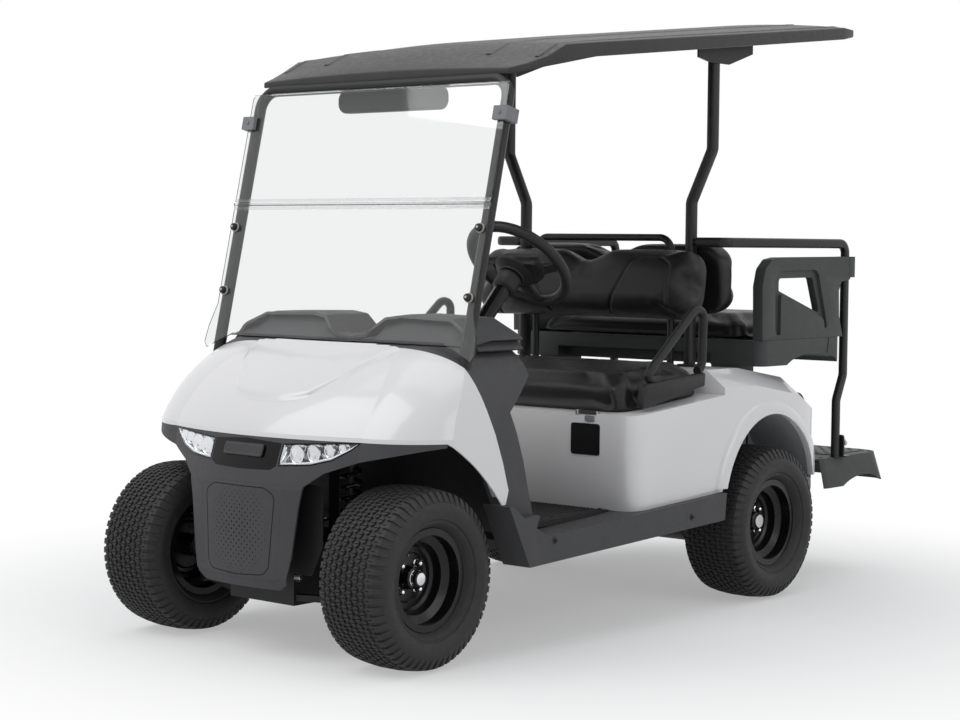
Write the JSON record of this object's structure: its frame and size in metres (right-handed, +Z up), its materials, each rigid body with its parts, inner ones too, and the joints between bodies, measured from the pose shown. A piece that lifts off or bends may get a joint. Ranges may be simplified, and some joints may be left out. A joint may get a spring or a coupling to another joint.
{
  "type": "four-seat golf cart",
  "caption": "Electric golf cart with a folding clear windshield, long roof, front bench and rear-facing flip bench over a footplate; wheels roll and steer.",
  "frame": {"origin": "on the ground under the middle of the whole cart", "axes": "-Y is ahead, +X is the driver's left, +Z is up"},
  "size_m": [1.2124, 2.7939, 1.9789],
  "materials": {
    "white_body": "glossy white moulded panels",
    "grey_plastic": "dark grey grained plastic",
    "black_plastic": "black moulded plastic",
    "kit_plastic": "dark green-grey moulded plastic",
    "black_steel": "semi-gloss black powder coat",
    "chassis_steel": "matt black chassis paint",
    "knuckle_metal": "bare cast metal",
    "wheel_steel": "gloss black steel wheels",
    "tyre_rubber": "matt rubber with block tread",
    "lamp_glass": "clear lamp lens",
    "screen_clear": "clear acrylic",
    "clamp_grey": "mid grey plastic",
    "roof_plastic": "dark charcoal grained plastic",
    "seat_vinyl": "black grained vinyl",
    "motor_paint": "black painted casing",
    "battery_case": "black battery cases"
  },
  "bodies": {
    "chassis": {"armrests": "kit_plastic", "battery_pack": "battery_case", "bumper_panel": "grey_plastic", "dash": "grey_plastic", "floor_pan": "black_plastic", "footplate": "kit_plastic", "frame": "chassis_steel", "front_arms": "chassis_steel", "front_cowl": "white_body", "front_fascia": "grey_plastic", "front_seat_back": "seat_vinyl", "front_shocks": "chassis_steel", "headlamps": "lamp_glass", "hip_restraints": "black_plastic", "leaf_springs": "chassis_steel", "mirror": "black_plastic", "motor": "motor_paint", "nose_panel": "black_plastic", "pedals": "black_plastic", "rear_axle": "chassis_steel", "rear_body": "white_body", "rear_bumper": "grey_plastic", "rear_seat_back": "seat_vinyl", "rear_seat_pan": "kit_plastic", "roof": "roof_plastic", "roof_struts": "black_steel", "seat_back_frame": "black_steel", "side_rails": "black_steel", "side_sills": "grey_plastic", "steering_column": "black_plastic", "windshield_clamps": "clamp_grey", "windshield_frame": "black_steel", "windshield_lower": "screen_clear", "windshield_upper": "screen_clear"},
    "knuckle_left_body": {"knuckle_left": "knuckle_metal"},
    "knuckle_right_body": {"knuckle_right": "knuckle_metal"},
    "wheel_front_left": {"tyre_front_left": "tyre_rubber", "rim_front_left": "wheel_steel"},
    "wheel_front_right": {"tyre_front_right": "tyre_rubber", "rim_front_right": "wheel_steel"},
    "wheel_rear_left": {"tyre_rear_left": "tyre_rubber", "rim_rear_left": "wheel_steel"},
    "wheel_rear_right": {"tyre_rear_right": "tyre_rubber", "rim_rear_right": "wheel_steel"},
    "rack": {"steering_rack": "knuckle_metal"},
    "helm": {"steering_wheel": "black_plastic"},
    "seat_lid": {"front_seat_cushion": "seat_vinyl"},
    "rear_seat_flip": {"rear_seat_cushion": "seat_vinyl"}
  },
  "joints": [
    {"name": "steer_left", "type": "hinge", "parent": "chassis", "child": "knuckle_left_body", "pos_m": [0.365, -1.143, 0.254], "axis": [0, 0, 1], "range_deg": [-26, 26]},
    {"name": "steer_right", "type": "hinge", "parent": "chassis", "child": "knuckle_right_body", "pos_m": [-0.365, -1.143, 0.254], "axis": [0, 0, 1], "range_deg": [-26.05, 26.05]},
    {"name": "rack_slide", "type": "slide", "parent": "chassis", "child": "rack", "axis": [1, 0, 0], "range_m": [-0.04184, 0.04184]},
    {"name": "helm_turn", "type": "hinge", "parent": "chassis", "child": "helm", "pos_m": [0.27, -0.446, 1.113], "axis": [0, 0.7071, 0.7071], "range_deg": [-313, 313]},
    {"name": "spin_front_left", "type": "hinge", "parent": "knuckle_left_body", "child": "wheel_front_left", "pos_m": [0.45, -1.143, 0.254], "axis": [1, 0, 0], "continuous": true},
    {"name": "spin_front_right", "type": "hinge", "parent": "knuckle_right_body", "child": "wheel_front_right", "pos_m": [-0.45, -1.143, 0.254], "axis": [1, 0, 0], "continuous": true},
    {"name": "spin_rear_left", "type": "hinge", "parent": "chassis", "child": "wheel_rear_left", "pos_m": [0.489, 0.526, 0.254], "axis": [1, 0, 0], "continuous": true},
    {"name": "spin_rear_right", "type": "hinge", "parent": "chassis", "child": "wheel_rear_right", "pos_m": [-0.489, 0.526, 0.254], "axis": [1, 0, 0], "continuous": true},
    {"name": "seat_lid_hinge", "type": "hinge", "parent": "chassis", "child": "seat_lid", "pos_m": [0, 0.235, 0.785], "axis": [-1, 0, 0], "range_deg": [0, 68]},
    {"name": "rear_seat_hinge", "type": "hinge", "parent": "chassis", "child": "rear_seat_flip", "pos_m": [0, 1.035, 0.86], "axis": [-1, 0, 0], "range_deg": [0, 180]}
  ],
  "couplings": [
    {"joint": "steer_right", "follows": "steer_left", "ratio": 1},
    {"joint": "rack_slide", "follows": "steer_left", "m_per_rad": -0.09177},
    {"joint": "helm_turn", "follows": "steer_left", "ratio": 12}
  ]
}
